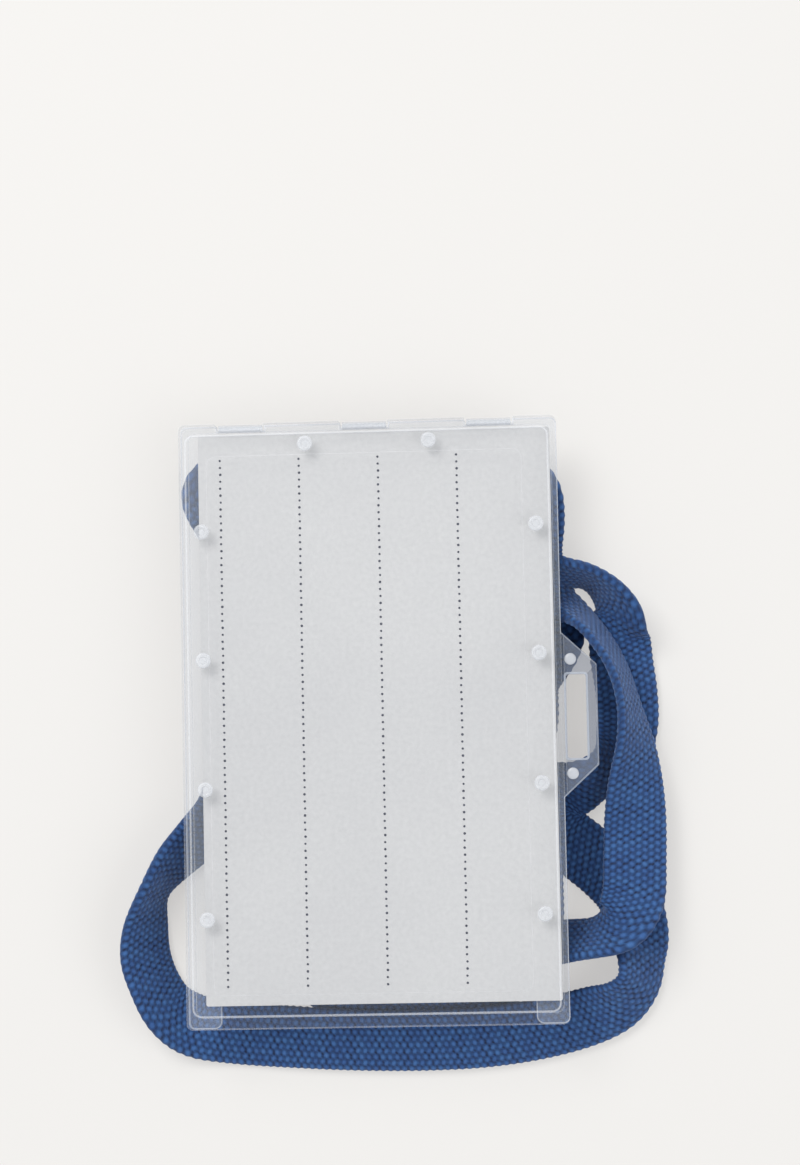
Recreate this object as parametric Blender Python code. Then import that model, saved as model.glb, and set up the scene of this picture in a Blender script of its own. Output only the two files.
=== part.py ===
"""Neck lanyard with a rigid card holder, laid flat.

A flat braided strap lies in three loose turns. Both its ends are held in a pressed crimp, which carries a swivel
snap hook. A two-shell plastic card holder lies on the turns: a back shell with a slotted tab, a front cover on three
film hinges along its top edge, and a paper insert between them.

Units in this file are millimetres in the drawing frame (X across the holder, Y towards its hinged edge, Z up from the
surface). Every vertex is moved by the origin offset and scaled to metres when its mesh is made.
"""

import math

import bmesh
import bpy
from mathutils import Matrix, Vector

# ---------------------------------------------------------------- driving dimensions (mm)
ORIGIN_X, ORIGIN_Y = 2.372, -3.745        # middle of the whole outline, so the part stands on its own origin

HOLDER_W, HOLDER_H = 60.0, 95.5         # outline of both shells
HOLDER_Z = 9.0                          # underside of the back shell
CORNER_R = 1.0
BACK_T = 1.2                            # back shell plate
COVER_Z = HOLDER_Z + BACK_T + 0.3       # parting gap above the back shell
COVER_T = 2.4                           # cover, rim to outer face
POCKET_D = 1.3                          # depth of the card pocket in the cover
POCKET = (-28.6, 29.2, -46.0, 46.5)
RIM_STEP = 0.9                          # lowered rim along the tab side
WINDOW = (-25.6, 24.5, -42.5, 42.6)     # raised window panel
WINDOW_T = 0.3
RING_R, RING_HOLE_R, RING_T = 1.2, 0.6, 0.35
RING_Y = (-30.6, -10.2, 10.2, 30.6)
RING_X = 26.5
RING_TOP_X, RING_TOP_Y = 9.8, 44.3

TAB_OUT = 5.5                           # how far the tab stands out of the long side
TAB_Y0, TAB_Y1 = -12.5, 13.5            # root of the tab
TAB_TIP_Y0, TAB_TIP_Y1 = -7.5, 8.4      # tip of the tab
TAB_T = 1.7
SLOT = (30.6, 33.7, -6.4, 6.8)          # strap slot, 3.1 x 13.2
TAB_BOSS_R, TAB_BOSS_T = 0.9, 0.4

NOTCH_W, NOTCH_D = 49.5, 8.0            # thumb notch in the back shell
HINGE_X = (-20.3, -0.5, 19.3)
HINGE_W, HINGE_T, HINGE_H = 7.0, 0.4, 1.2
HINGE_AXIS_Y, HINGE_AXIS_Z = HOLDER_H / 2 + 0.15, HOLDER_Z + BACK_T + 0.15
HINGE_SLOT_D = 0.85                     # depth of the relief round each film hinge

CARD = (-27.1, 28.9, -44.15, 46.1)      # 56 x 90 insert
CARD_T = 0.3
CARD_Z = HOLDER_Z + BACK_T + 0.3

STRAP_W, STRAP_T = 9.6, 1.4             # solid of the strap, a little inside the 10 mm braid
WINDING_H = 8.6                         # height of the turns under the holder

AXIS_X, AXIS_Z = 6.0, 3.1               # swivel axis, along Y
CRIMP_Y0, CRIMP_Y1 = -22.5, -12.3
CRIMP_W, CRIMP_H, CRIMP_T = 11.6, 5.2, 0.65
STUD_R, STUD_HEAD_R = 0.8, 1.75
HOOK_T = 3.6
BARREL_R, BARREL_Y0 = 2.8, -12.0
GATE_X, GATE_Y = 3.6, -4.6              # gate pivot, from the swivel axis
PIN_R, PIN_HOLE_R = 0.45, 0.75

MM = 0.001

# ---------------------------------------------------------------- scene
for ob in list(bpy.data.objects):
    bpy.data.objects.remove(ob, do_unlink=True)


def material(name, colour, roughness, metallic=0.0, alpha=1.0):
    m = bpy.data.materials.new(name)
    m.use_nodes = True
    b = m.node_tree.nodes["Principled BSDF"]
    b.inputs["Base Color"].default_value = (*colour, 1.0)
    b.inputs["Roughness"].default_value = roughness
    b.inputs["Metallic"].default_value = metallic
    b.inputs["Alpha"].default_value = alpha
    return m


MAT_BACK = material("frosted_back", (0.80, 0.82, 0.84), 0.45)
MAT_COVER = material("frosted_cover", (0.84, 0.85, 0.86), 0.42)
MAT_HINGE = material("film_hinge", (0.78, 0.80, 0.82), 0.40)
MAT_CARD = material("insert_paper", (0.80, 0.80, 0.81), 0.85)
MAT_STRAP = material("blue_braid", (0.03, 0.10, 0.36), 0.80)
MAT_CRIMP = material("nickel_crimp", (0.62, 0.62, 0.60), 0.32, 1.0)
MAT_HOOK = material("nickel_hook", (0.66, 0.66, 0.64), 0.25, 1.0)
MAT_STEEL = material("steel_small_parts", (0.55, 0.55, 0.55), 0.30, 1.0)


def place(bm, name, mat, origin=(0.0, 0.0, 0.0)):
    """Mesh in drawing millimetres -> named object in metres, with its origin at the given drawing point."""
    o = Vector(origin)
    for v in bm.verts:
        v.co = (v.co - o) * MM
    bmesh.ops.recalc_face_normals(bm, faces=bm.faces)
    me = bpy.data.meshes.new(name)
    bm.to_mesh(me)
    bm.free()
    me.materials.append(mat)
    ob = bpy.data.objects.new(name, me)
    bpy.context.scene.collection.objects.link(ob)
    ob.location = ((origin[0] - ORIGIN_X) * MM, (origin[1] - ORIGIN_Y) * MM, origin[2] * MM)
    return ob


def prism(outline, z0, z1, bm=None):
    """Extrude a counter-clockwise XY outline from z0 to z1."""
    bm = bm or bmesh.new()
    low = [bm.verts.new((x, y, z0)) for x, y in outline]
    high = [bm.verts.new((x, y, z1)) for x, y in outline]
    n = len(outline)
    bm.faces.new(list(reversed(low)))
    bm.faces.new(high)
    for i in range(n):
        j = (i + 1) % n
        bm.faces.new((low[i], low[j], high[j], high[i]))
    return bm


def box(x0, x1, y0, y1, z0, z1, bm=None):
    return prism([(x0, y0), (x1, y0), (x1, y1), (x0, y1)], z0, z1, bm)


def arc(cx, cy, r, a0, a1, n):
    return [(cx + r * math.cos(math.radians(a0 + (a1 - a0) * i / n)), cy + r * math.sin(math.radians(a0 + (a1 - a0) * i / n)))
            for i in range(n + 1)]


def rounded(x0, x1, y0, y1, r, n=4):
    return (arc(x1 - r, y0 + r, r, -90, 0, n) + arc(x1 - r, y1 - r, r, 0, 90, n)
            + arc(x0 + r, y1 - r, r, 90, 180, n) + arc(x0 + r, y0 + r, r, 180, 270, n))


def turned(profile, n, axis="Y", centre=(0.0, 0.0, 0.0)):
    """Closed solid turned from (radius, height) points that start and end on the axis."""
    bm = bmesh.new()
    c = Vector(centre)

    def at(r, h, a):
        if axis == "Y":
            return c + Vector((r * math.cos(a), h, r * math.sin(a)))
        return c + Vector((r * math.cos(a), r * math.sin(a), h))

    rings = []
    for r, h in profile:
        if r == 0.0:
            rings.append([bm.verts.new(at(0, h, 0))])
        else:
            rings.append([bm.verts.new(at(r, h, 2 * math.pi * k / n)) for k in range(n)])
    for a, b in zip(rings[:-1], rings[1:]):
        for k in range(n):
            l = (k + 1) % n
            if len(a) == 1:
                bm.faces.new((a[0], b[k], b[l]))
            elif len(b) == 1:
                bm.faces.new((a[k], b[0], a[l]))
            else:
                bm.faces.new((a[k], b[k], b[l], a[l]))
    return bm


def boolean(ob, bm, operation, label):
    """Add an exact Boolean with a hidden tool made from bm (drawing millimetres)."""
    tool = place(bm, ob.name + "_" + label, MAT_STEEL)
    tool.hide_render = True
    tool.display_type = "WIRE"
    m = ob.modifiers.new(label, "BOOLEAN")
    m.operation = operation
    m.solver = "EXACT"
    m.object = tool
    return tool


def smooth(ob, angle=35.0):
    ob.data.shade_smooth()
    ob.data.set_sharp_from_angle(angle=math.radians(angle))


# ---------------------------------------------------------------- holder: back shell with slotted tab
hw, hh = HOLDER_W / 2, HOLDER_H / 2


def top_edge_with_reliefs(y_deep):
    """Top edge from right to left, stepping in round each film hinge."""
    pts = []
    half = HINGE_W / 2 + 0.3
    for cx in sorted(HINGE_X, reverse=True):
        pts += [(cx + half, hh), (cx + half, y_deep), (cx - half, y_deep), (cx - half, hh)]
    return pts


nw = NOTCH_W / 2
outline = (
    arc(-hw + CORNER_R, -hh + CORNER_R, CORNER_R, 180, 270, 4)
    + arc(-nw - 1.2, -hh + 1.2, 1.2, -90, 0, 4)
    + arc(-nw + 1.5, -hh + NOTCH_D - 1.5, 1.5, 180, 90, 4)
    + arc(nw - 1.5, -hh + NOTCH_D - 1.5, 1.5, 90, 0, 4)
    + arc(nw + 1.2, -hh + 1.2, 1.2, 180, 270, 4)
    + arc(hw - CORNER_R, -hh + CORNER_R, CORNER_R, -90, 0, 4)
    + [(hw, TAB_Y0), (hw + TAB_OUT, TAB_TIP_Y0), (hw + TAB_OUT, TAB_TIP_Y1), (hw, TAB_Y1)]
    + arc(hw - CORNER_R, hh - CORNER_R, CORNER_R, 0, 90, 4)
    + top_edge_with_reliefs(hh - HINGE_SLOT_D)
    + arc(-hw + CORNER_R, hh - CORNER_R, CORNER_R, 90, 180, 4)
)
back = place(prism(outline, HOLDER_Z, HOLDER_Z + BACK_T), "holder_back_shell", MAT_BACK)
pad = [(hw + 0.3, TAB_Y0 + 0.4), (hw + TAB_OUT - 0.1, TAB_TIP_Y0 + 0.1), (hw + TAB_OUT - 0.1, TAB_TIP_Y1 - 0.1), (hw + 0.3, TAB_Y1 - 0.4)]
boolean(back, prism(pad, HOLDER_Z + BACK_T - 0.5, HOLDER_Z + TAB_T), "UNION", "tab_pad")
for i, (bx, by) in enumerate(((hw + 1.35, TAB_Y1 - 4.3), (hw + 1.35, TAB_Y0 + 3.7))):
    boss = turned([(0.0, HOLDER_Z + TAB_T - 0.4), (TAB_BOSS_R, HOLDER_Z + TAB_T - 0.4), (TAB_BOSS_R, HOLDER_Z + TAB_T + TAB_BOSS_T - 0.1),
                   (TAB_BOSS_R - 0.15, HOLDER_Z + TAB_T + TAB_BOSS_T), (0.0, HOLDER_Z + TAB_T + TAB_BOSS_T)], 14, "Z", (bx, by, 0.0))
    boolean(back, boss, "UNION", "tab_boss_%d" % i)
sx0, sx1, sy0, sy1 = SLOT
boolean(back, prism(rounded(sx0, sx1, sy0, sy1, 0.4, 3), HOLDER_Z - 1, HOLDER_Z + TAB_T + 1), "DIFFERENCE", "tab_slot")

# ---------------------------------------------------------------- holder: front cover
top = COVER_Z + COVER_T
cover_axis = (0.0, HINGE_AXIS_Y, HINGE_AXIS_Z)
outline = (
    rounded(-hw, hw, -hh, hh, CORNER_R)[:10]
    + top_edge_with_reliefs(hh - HINGE_SLOT_D)
    + rounded(-hw, hw, -hh, hh, CORNER_R)[10:]
)
cover = place(prism(outline, COVER_Z, top), "holder_front_cover", MAT_COVER, cover_axis)
boolean(cover, prism(rounded(*POCKET, 1.3), COVER_Z - 1, COVER_Z + POCKET_D), "DIFFERENCE", "card_pocket")
boolean(cover, box(hw - RIM_STEP, hw + 1, -hh - 1, hh + 1, top - 0.5, top + 1), "DIFFERENCE", "rim_step")
boolean(cover, prism(rounded(*WINDOW, 1.5), top - 0.4, top + WINDOW_T), "UNION", "window_panel")
rings = [(s * RING_X, y) for s in (-1, 1) for y in RING_Y] + [(s * RING_TOP_X, RING_TOP_Y) for s in (-1, 1)]
for i, (cx, cy) in enumerate(rings):
    t = top + RING_T
    ring = turned([(0.0, top - 0.3), (RING_R, top - 0.3), (RING_R, t - 0.1), (RING_R - 0.1, t), (RING_HOLE_R, t), (RING_HOLE_R - 0.1, t - 0.25), (0.0, t - 0.25)],
                  16, "Z", (cx, cy, 0.0))
    boolean(cover, ring, "UNION", "pin_mark_%d" % i)

# ---------------------------------------------------------------- film hinges
hinge_y = hh - 0.35
for side, cx in zip(("left", "middle", "right"), HINGE_X):
    place(box(cx - HINGE_W / 2, cx + HINGE_W / 2, hinge_y - HINGE_T / 2, hinge_y + HINGE_T / 2, HINGE_AXIS_Z - HINGE_H / 2, HINGE_AXIS_Z + HINGE_H / 2),
          "film_hinge_" + side, MAT_HINGE)

# ---------------------------------------------------------------- paper insert
place(prism(rounded(*CARD, 0.3, 2), CARD_Z, CARD_Z + CARD_T), "insert_card", MAT_CARD, (0.0, CARD[3], CARD_Z + CARD_T / 2))

# ---------------------------------------------------------------- strap
# The centre line as x, y, height of the surface under the strap, and roll in degrees about the line. The strap runs
# counter-clockwise from the crimp and back to it; a positive roll lifts the edge nearer the middle.
ROUTE = [
    (6.0, -14.0, 3.3, 0), (6.0, -18.0, 3.3, 0), (6.0, -22.5, 3.3, 0), (6.6, -26.6, 3.3, 0), (9.2, -31.0, 3.2, -6),
    (13.6, -34.2, 2.7, -15), (18.8, -35.4, 2.4, -22), (24.2, -35.6, 2.4, -28), (30.0, -35.2, 2.6, -30),
    (34.2, -34.1, 3.6, -20), (37.5, -31.5, 5.1, -4), (39.7, -27.8, 4.9, 2), (40.5, -23.0, 4.3, 4),
    (40.9, -17.5, 3.9, 8), (41.1, -10.5, 3.5, 30), (41.2, -4.0, 3.1, 56), (40.4, 2.0, 3.1, 72), (38.9, 7.5, 3.2, 75),
    (36.8, 12.2, 3.1, 70), (33.8, 15.9, 2.3, 57), (30.2, 18.3, 1.7, 42), (25.5, 20.2, 1.7, 32), (17.5, 22.4, 0.6, 22),
    (9.0, 24.0, 0.1, 14), (0.5, 25.4, 0.1, 6), (-7.5, 24.8, 0.1, 2), (-13.6, 21.0, 0.1, 10), (-17.2, 14.6, 0.1, 34),
    (-18.6, 6.0, 0.1, 45), (-18.9, -4.0, 0.1, 45), (-18.8, -14.0, 0.1, 45), (-18.0, -23.0, 0.1, 42),
    (-15.4, -31.2, 0.1, 32), (-10.2, -37.4, 0.1, 18), (-2.6, -40.6, 0.1, 6), (6.0, -41.4, 0.1, 4),
    (14.0, -41.0, 0.1, 4), (20.0, -38.6, 0.1, 2), (23.4, -33.6, 0.4, 0), (24.3, -27.0, 1.6, 0), (24.0, -20.0, 2.6, 0),
    (23.2, -13.0, 3.2, 0), (23.2, -6.0, 2.6, 0), (24.2, 0.5, 0.5, 0), (26.0, 6.5, 0.1, 0), (27.8, 11.3, 0.1, 0),
    (27.9, 15.4, 0.1, 0), (26.6, 20.6, 0.1, 0), (25.4, 26.5, 0.1, 2), (26.0, 32.5, 0.1, 8), (25.6, 37.4, 0.1, 16),
    (22.4, 41.2, 0.1, 22), (17.0, 42.6, 0.1, 26), (9.0, 42.4, 0.1, 28), (0.0, 42.2, 0.1, 28), (-9.0, 42.6, 0.1, 22),
    (-17.0, 43.0, 0.1, 10), (-23.4, 41.4, 0.1, -8), (-26.8, 36.8, 0.1, -26), (-27.6, 30.0, 0.1, -38),
    (-27.4, 21.0, 0.1, -44), (-27.2, 11.0, 0.1, -45), (-27.2, 1.0, 0.1, -45), (-27.4, -7.0, 0.1, -45),
    (-28.2, -13.0, 0.1, -46), (-30.4, -18.4, 0.1, -50), (-33.6, -22.8, 0.1, -58), (-36.0, -27.4, 0.1, -58),
    (-37.5, -32.0, 0.1, -40), (-37.9, -36.6, 0.1, -30), (-36.9, -41.2, 0.1, -34), (-34.4, -45.0, 0.1, -30),
    (-30.2, -47.6, 0.1, -10), (-24.0, -48.8, 0.1, 2), (-15.0, -49.6, 0.1, 8), (-4.0, -50.3, 0.1, 12),
    (7.0, -50.5, 0.1, 13), (17.0, -50.1, 0.1, 14), (26.0, -48.8, 0.1, 14), (33.6, -46.9, 0.1, 22),
    (38.6, -44.7, 0.1, 38), (41.8, -41.6, 0.1, 46), (42.4, -36.8, 0.2, 24), (41.6, -32.2, 0.1, 10),
    (39.3, -27.8, 0.1, 2), (36.0, -24.0, 0.1, 0), (32.2, -20.8, 0.1, 0), (29.0, -18.0, 0.1, 0), (27.6, -14.4, 0.1, 6),
    (29.6, -11.6, 0.1, 10), (33.3, -10.2, 0.1, 42), (36.9, -8.3, 0.1, 42), (39.2, -5.0, 0.1, 24),
    (40.2, -0.5, 0.2, 11), (40.1, 4.5, 0.3, 9), (39.5, 9.2, 0.4, 4), (39.2, 13.2, 0.2, -12), (39.4, 17.2, 0.1, -42),
    (37.4, 20.8, 0.1, -56), (33.8, 23.0, 0.7, -54), (29.6, 23.9, 1.5, -42), (24.0, 26.2, 1.8, -26),
    (16.8, 29.6, 1.2, -8), (9.0, 31.6, 0.4, 6), (2.0, 30.6, 1.4, 8), (-4.6, 26.8, 2.5, 4), (-9.4, 20.8, 2.2, 14),
    (-11.9, 13.6, 0.6, 38), (-12.6, 5.0, 0.1, 45), (-12.7, -5.0, 0.1, 45), (-12.7, -14.0, 0.1, 44),
    (-12.2, -21.0, 0.1, 38), (-10.6, -26.8, 0.5, 26), (-7.0, -31.0, 1.5, 12), (-1.6, -32.8, 2.1, 2),
    (3.0, -31.0, 1.8, 0), (5.5, -26.8, 1.4, 0), (6.0, -22.5, 1.3, 0), (6.0, -18.0, 1.3, 0), (6.0, -14.0, 1.3, 0),
]


def centre_line(samples=12):
    """One smooth curve through the route's points: rows of x, y, z, roll, with the length so far."""
    rows = []
    for x, y, base, roll in ROUTE:
        r = math.radians(roll)
        rows.append((x, y, base + 5.0 * abs(math.sin(r)) + 0.8 * math.cos(r), roll))
    rows = [tuple(2 * a - b for a, b in zip(rows[0], rows[1]))] + rows + [tuple(2 * a - b for a, b in zip(rows[-1], rows[-2]))]
    out = []
    for i in range(1, len(rows) - 2):
        p = rows[i - 1:i + 3]
        t = [0.0]
        for a, b in zip(p[:-1], p[1:]):
            t.append(t[-1] + math.sqrt(max(1e-6, math.dist(a[:3], b[:3]))))

        def mix(a, b, ta, tb, u):
            return tuple((tb - u) / (tb - ta) * m + (u - ta) / (tb - ta) * n for m, n in zip(a, b))

        for k in range(samples):
            u = t[1] + (t[2] - t[1]) * k / samples
            a1, a2, a3 = mix(p[0], p[1], t[0], t[1], u), mix(p[1], p[2], t[1], t[2], u), mix(p[2], p[3], t[2], t[3], u)
            out.append(mix(mix(a1, a2, t[0], t[2], u), mix(a2, a3, t[1], t[3], u), t[1], t[2], u))
    out.append(rows[-2])
    length = [0.0]
    for a, b in zip(out[:-1], out[1:]):
        length.append(length[-1] + math.dist(a[:3], b[:3]))
    return out, length


LINE, LENGTH = centre_line()


def at_length(s):
    for i in range(len(LENGTH) - 1):
        if LENGTH[i + 1] >= s:
            f = (s - LENGTH[i]) / max(1e-9, LENGTH[i + 1] - LENGTH[i])
            return [a + f * (b - a) for a, b in zip(LINE[i], LINE[i + 1])]
    return list(LINE[-1])


def first_length(test, start=0.0):
    """Length along the strap, past start, where the centre line first meets the test."""
    for p, s in zip(LINE, LENGTH):
        if s > start and test(p):
            return s
    return LENGTH[-1]


def strap_run(name, s0, s1, step=3.8):
    """Flat strap between two lengths: a bevelled-rectangle section swept along the line."""
    n = max(4, int(round((s1 - s0) / step)))
    bm = bmesh.new()
    hw_, ht = STRAP_W / 2, STRAP_T / 2
    section = [(-hw_, -0.25), (-hw_ + 0.7, -ht), (hw_ - 0.7, -ht), (hw_, -0.25), (hw_, 0.25), (hw_ - 0.7, ht), (-hw_ + 0.7, ht), (-hw_, 0.25)]
    rings_ = []
    for k in range(n + 1):
        s = s0 + (s1 - s0) * k / n
        p = at_length(s)
        a, b = at_length(max(s0, s - 1.0)), at_length(min(s1, s + 1.0))
        tangent = (Vector(b[:3]) - Vector(a[:3])).normalized()
        side = Vector((0, 0, 1)).cross(tangent).normalized()
        up = tangent.cross(side)
        r = math.radians(p[3])
        wide = side * math.cos(r) + up * math.sin(r)
        normal = tangent.cross(wide)
        rings_.append([bm.verts.new(Vector(p[:3]) + wide * u + normal * v) for u, v in section])
    for a, b in zip(rings_[:-1], rings_[1:]):
        for i in range(8):
            j = (i + 1) % 8
            bm.faces.new((a[i], a[j], b[j], b[i]))
    bm.faces.new(list(reversed(rings_[0])))
    bm.faces.new(rings_[-1])
    bmesh.ops.triangulate(bm, faces=bm.faces)
    ob = place(bm, name, MAT_STRAP)
    return ob


# the turns under the holder, as the outer shape of the winding
WINDING = [
    (-31.2, -9.0), (-28.4, -21.0), (-25.5, -34.0), (-21.0, -41.0), (-15.0, -43.4), (20.0, -43.6), (29.4, -42.8), (29.4, -25.6), (26.6, -22.8),
    (-7.9, -22.8), (-7.9, 13.5), (-4.5, 17.3), (29.4, 17.3), (29.4, 36.0), (28.2, 42.0), (23.5, 46.2), (17.0, 47.2), (-19.0, 47.2), (-26.5, 45.6), (-30.4, 41.5), (-31.2, 36.0),
]
place(prism(WINDING, 0.0, WINDING_H), "strap_winding", MAT_STRAP)

s_inner_0 = first_length(lambda p: p[0] > 30.6 and p[1] < -30)
s_inner_1 = first_length(lambda p: p[0] < 34.4 and p[1] > 10, s_inner_0)
s_tab_0 = first_length(lambda p: p[0] > 20 and p[1] > 0.5, s_inner_1 + 100)
s_tab_1 = first_length(lambda p: p[1] > 16.2 and p[0] > 20, s_tab_0)
s_outer_0 = first_length(lambda p: p[0] < -31.4 and p[1] < -15, s_tab_1)
s_outer_1 = first_length(lambda p: p[0] < 31.4 and p[1] > 20, s_outer_0 + 150)
strap_run("strap_inner_run", s_inner_0, s_inner_1)
strap_run("strap_tab_run", s_tab_0, s_tab_1)
strap_run("strap_outer_run", s_outer_0, s_outer_1)

# ---------------------------------------------------------------- crimp on the strap ends
bm = bmesh.new()
z0, z1 = AXIS_Z - CRIMP_H / 2, AXIS_Z + CRIMP_H / 2
t = CRIMP_T
profile = [(CRIMP_Y0, z0), (CRIMP_Y1 - 0.7, z0), (CRIMP_Y1, z0 + 0.7), (CRIMP_Y1, z1 - 0.7), (CRIMP_Y1 - 0.7, z1), (CRIMP_Y0, z1),
           (CRIMP_Y0, z1 - t), (CRIMP_Y1 - t - 0.35, z1 - t), (CRIMP_Y1 - t, z1 - t - 0.35), (CRIMP_Y1 - t, z0 + t + 0.35), (CRIMP_Y1 - t - 0.35, z0 + t), (CRIMP_Y0, z0 + t)]
left = [bm.verts.new((AXIS_X - CRIMP_W / 2, y, z)) for y, z in profile]
right = [bm.verts.new((AXIS_X + CRIMP_W / 2, y, z)) for y, z in profile]
bm.faces.new(left)
bm.faces.new(list(reversed(right)))
for i in range(len(profile)):
    j = (i + 1) % len(profile)
    bm.faces.new((left[i], right[i], right[j], left[j]))
crimp = place(bm, "strap_crimp", MAT_CRIMP)
hole = turned([(0.0, CRIMP_Y1 - 2), (STUD_R + 0.3, CRIMP_Y1 - 2), (STUD_R + 0.3, CRIMP_Y1 + 1), (0.0, CRIMP_Y1 + 1)], 16, "Y", (AXIS_X, 0.0, AXIS_Z))
boolean(crimp, hole, "DIFFERENCE", "stud_hole")

# ---------------------------------------------------------------- swivel stud
inner = CRIMP_Y1 - CRIMP_T - 0.3
throat = -7.4
stud = turned([(0.0, inner - 0.8), (STUD_HEAD_R, inner - 0.8), (STUD_HEAD_R, inner), (STUD_R, inner),
               (STUD_R, throat + 0.3), (1.45, throat + 0.3), (1.45, throat + 0.7), (0.9, throat + 1.0), (0.0, throat + 1.0)], 16, "Y", (AXIS_X, 0.0, AXIS_Z))
smooth(place(stud, "swivel_stud", MAT_STEEL, (AXIS_X, 0.0, AXIS_Z)))

# ---------------------------------------------------------------- hook body
hz0, hz1 = AXIS_Z - HOOK_T / 2, AXIS_Z + HOOK_T / 2
outline = (
    [(-2.6, -8.8), (2.6, -8.8), (4.4, -8.2), (5.0, -7.0), (5.0, -2.4), (2.2, -2.4), (2.2, -6.3), (1.3, -7.4), (-1.6, -7.4), (-2.6, -7.0), (-3.0, -6.0)]
    + arc(0.0, 11.0, 3.0, 180, 0, 10)
    + [(3.0, 9.0), (5.0, 9.0)]
    + arc(0.0, 11.0, 5.0, 0, 180, 14)
    + [(-5.0, -7.0), (-4.4, -8.2)]
)
hook_origin = (AXIS_X, 0.0, AXIS_Z)
hook = place(prism([(AXIS_X + x, y) for x, y in outline], hz0, hz1), "hook_body", MAT_HOOK, hook_origin)
barrel = turned([(0.0, BARREL_Y0), (BARREL_R - 0.3, BARREL_Y0), (BARREL_R, BARREL_Y0 + 0.3), (BARREL_R, -8.9), (BARREL_R - 0.6, -8.1), (0.0, -8.1)], 20, "Y", (AXIS_X, 0.0, AXIS_Z))
boolean(hook, barrel, "UNION", "barrel")
bore = turned([(0.0, BARREL_Y0 - 1), (STUD_R + 0.3, BARREL_Y0 - 1), (STUD_R + 0.3, -6.9), (0.0, -6.9)], 16, "Y", (AXIS_X, 0.0, AXIS_Z))
boolean(hook, bore, "DIFFERENCE", "swivel_bore")
boolean(hook, box(AXIS_X + 1.9, AXIS_X + 5.6, -7.7, -1.5, AXIS_Z - 1.1, AXIS_Z + 1.1), "DIFFERENCE", "fork_slot")
pin_hole = turned([(0.0, hz0 - 1), (PIN_HOLE_R, hz0 - 1), (PIN_HOLE_R, hz1 + 1), (0.0, hz1 + 1)], 14, "Z", (AXIS_X + GATE_X, GATE_Y, 0.0))
boolean(hook, pin_hole, "DIFFERENCE", "pin_hole")

# ---------------------------------------------------------------- hook gate
gx, gy = AXIS_X + GATE_X, GATE_Y
hub = arc(gx, gy, 1.35, 150, 390, 10)
gate = place(prism(hub + [(AXIS_X + 4.75, -1.0), (AXIS_X + 3.05, -1.0)], AXIS_Z, AXIS_Z + 0.8), "hook_gate", MAT_HOOK, (gx, gy, AXIS_Z))
arm = [(AXIS_X + 3.05, -1.5), (AXIS_X + 4.75, -1.5), (AXIS_X + 4.75, 0.8), (AXIS_X + 5.25, 1.6), (AXIS_X + 5.25, 3.4), (AXIS_X + 4.75, 4.2),
       (AXIS_X + 4.75, 8.6), (AXIS_X + 3.3, 8.6), (AXIS_X + 3.05, 8.2)]
boolean(gate, prism(arm, AXIS_Z - 1.5, AXIS_Z + 1.5), "UNION", "arm")
gate_hole = turned([(0.0, AXIS_Z - 1), (PIN_HOLE_R, AXIS_Z - 1), (PIN_HOLE_R, AXIS_Z + 2), (0.0, AXIS_Z + 2)], 14, "Z", (gx, gy, 0.0))
boolean(gate, gate_hole, "DIFFERENCE", "pin_hole")

# ---------------------------------------------------------------- gate pin and spring
pin = turned([(0.0, hz0 - 0.6), (0.9, hz0 - 0.6), (0.9, hz0 - 0.3), (PIN_R, hz0 - 0.3), (PIN_R, hz1 + 0.3), (0.9, hz1 + 0.3), (0.9, hz1 + 0.6), (0.0, hz1 + 0.6)],
             14, "Z", (gx, gy, 0.0))
smooth(place(pin, "gate_pin", MAT_STEEL, (gx, gy, AXIS_Z)))

bm = bmesh.new()
WIRE = 0.17
path = [(gx - 1.05, -2.75), (gx - 1.05, gy + 0.3)] + [(gx + 1.05 * math.cos(math.radians(a)), gy + 1.05 * math.sin(math.radians(a))) for a in range(180, 451, 18)]
rings_ = []
for i, (x, y) in enumerate(path):
    xa, ya = path[max(0, i - 1)]
    xb, yb = path[min(len(path) - 1, i + 1)]
    tan = Vector((xb - xa, yb - ya, 0)).normalized()
    nrm = Vector((-tan.y, tan.x, 0))
    c = Vector((x, y, AXIS_Z - 0.55))
    rings_.append([bm.verts.new(c + nrm * WIRE * math.cos(a) + Vector((0, 0, 1)) * WIRE * math.sin(a)) for a in (k * math.pi / 3 for k in range(6))])
for a, b in zip(rings_[:-1], rings_[1:]):
    for i in range(6):
        j = (i + 1) % 6
        bm.faces.new((a[i], a[j], b[j], b[i]))
bm.faces.new(list(reversed(rings_[0])))
bm.faces.new(rings_[-1])
place(bm, "gate_spring", MAT_STEEL)
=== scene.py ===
"""Neck lanyard with a rigid card holder: the braided strap, frosted holder, paper insert and plated hook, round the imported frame."""
import math

import bmesh
import bpy
import numpy as np
from mathutils import Matrix, Vector


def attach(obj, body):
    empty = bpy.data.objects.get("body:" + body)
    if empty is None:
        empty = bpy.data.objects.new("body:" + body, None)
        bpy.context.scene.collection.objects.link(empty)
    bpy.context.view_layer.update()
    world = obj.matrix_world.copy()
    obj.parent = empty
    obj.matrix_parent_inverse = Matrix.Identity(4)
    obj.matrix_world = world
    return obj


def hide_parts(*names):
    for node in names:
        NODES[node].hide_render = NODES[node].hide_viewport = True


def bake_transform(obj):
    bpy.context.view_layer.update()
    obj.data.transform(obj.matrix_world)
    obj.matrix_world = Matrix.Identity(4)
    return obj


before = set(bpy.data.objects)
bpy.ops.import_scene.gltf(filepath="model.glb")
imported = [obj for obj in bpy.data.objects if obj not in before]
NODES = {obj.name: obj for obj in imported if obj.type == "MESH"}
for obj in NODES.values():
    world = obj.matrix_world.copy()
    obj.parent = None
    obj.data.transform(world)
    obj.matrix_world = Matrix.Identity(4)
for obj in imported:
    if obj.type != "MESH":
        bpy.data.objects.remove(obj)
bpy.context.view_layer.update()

OX, OY = 2.372, -3.745      # drawing millimetres -> row frame
MM = 0.001
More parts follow.
